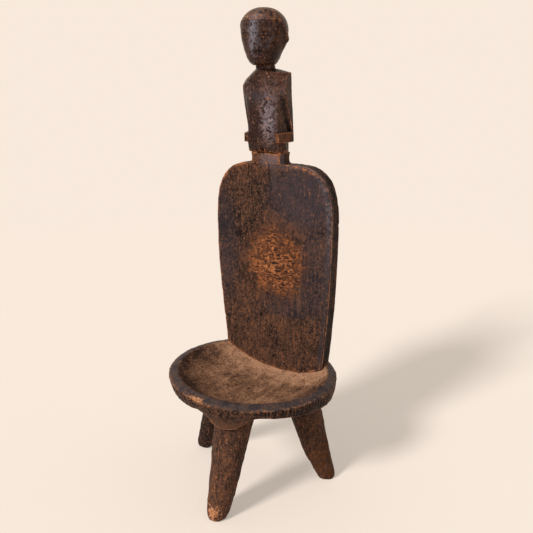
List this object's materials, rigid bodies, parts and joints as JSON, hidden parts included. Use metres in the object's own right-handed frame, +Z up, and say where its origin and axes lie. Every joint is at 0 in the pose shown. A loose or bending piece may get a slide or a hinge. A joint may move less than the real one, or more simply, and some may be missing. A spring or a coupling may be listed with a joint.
{
  "type": "high-backed carved stool",
  "caption": "Low wooden stool with a round dished seat on splayed legs and a tall shield-shaped backrest that carries a carved half figure.",
  "frame": {"origin": "on the floor, under the middle of the stool's overall box", "axes": "+Z up, the front of the seat towards -Y, +X to the right of someone who faces the front"},
  "size_m": [0.3613, 0.34, 0.952],
  "materials": {
    "seat_wood": "worn, dusty brown in the dish and dark on the rim",
    "leg_wood": "dark brown patina with worn orange spots",
    "backrest_wood": "dark brown patina, worn through to orange wood in the middle",
    "figure_wood": "dark handled patina with a soft sheen"
  },
  "bodies": {
    "root": {"seat": "seat_wood", "leg_front": "leg_wood", "leg_rear_right": "leg_wood", "leg_rear_left": "leg_wood", "backrest": "backrest_wood", "figure_torso": "figure_wood", "figure_head": "figure_wood"}
  },
  "joints": []
}
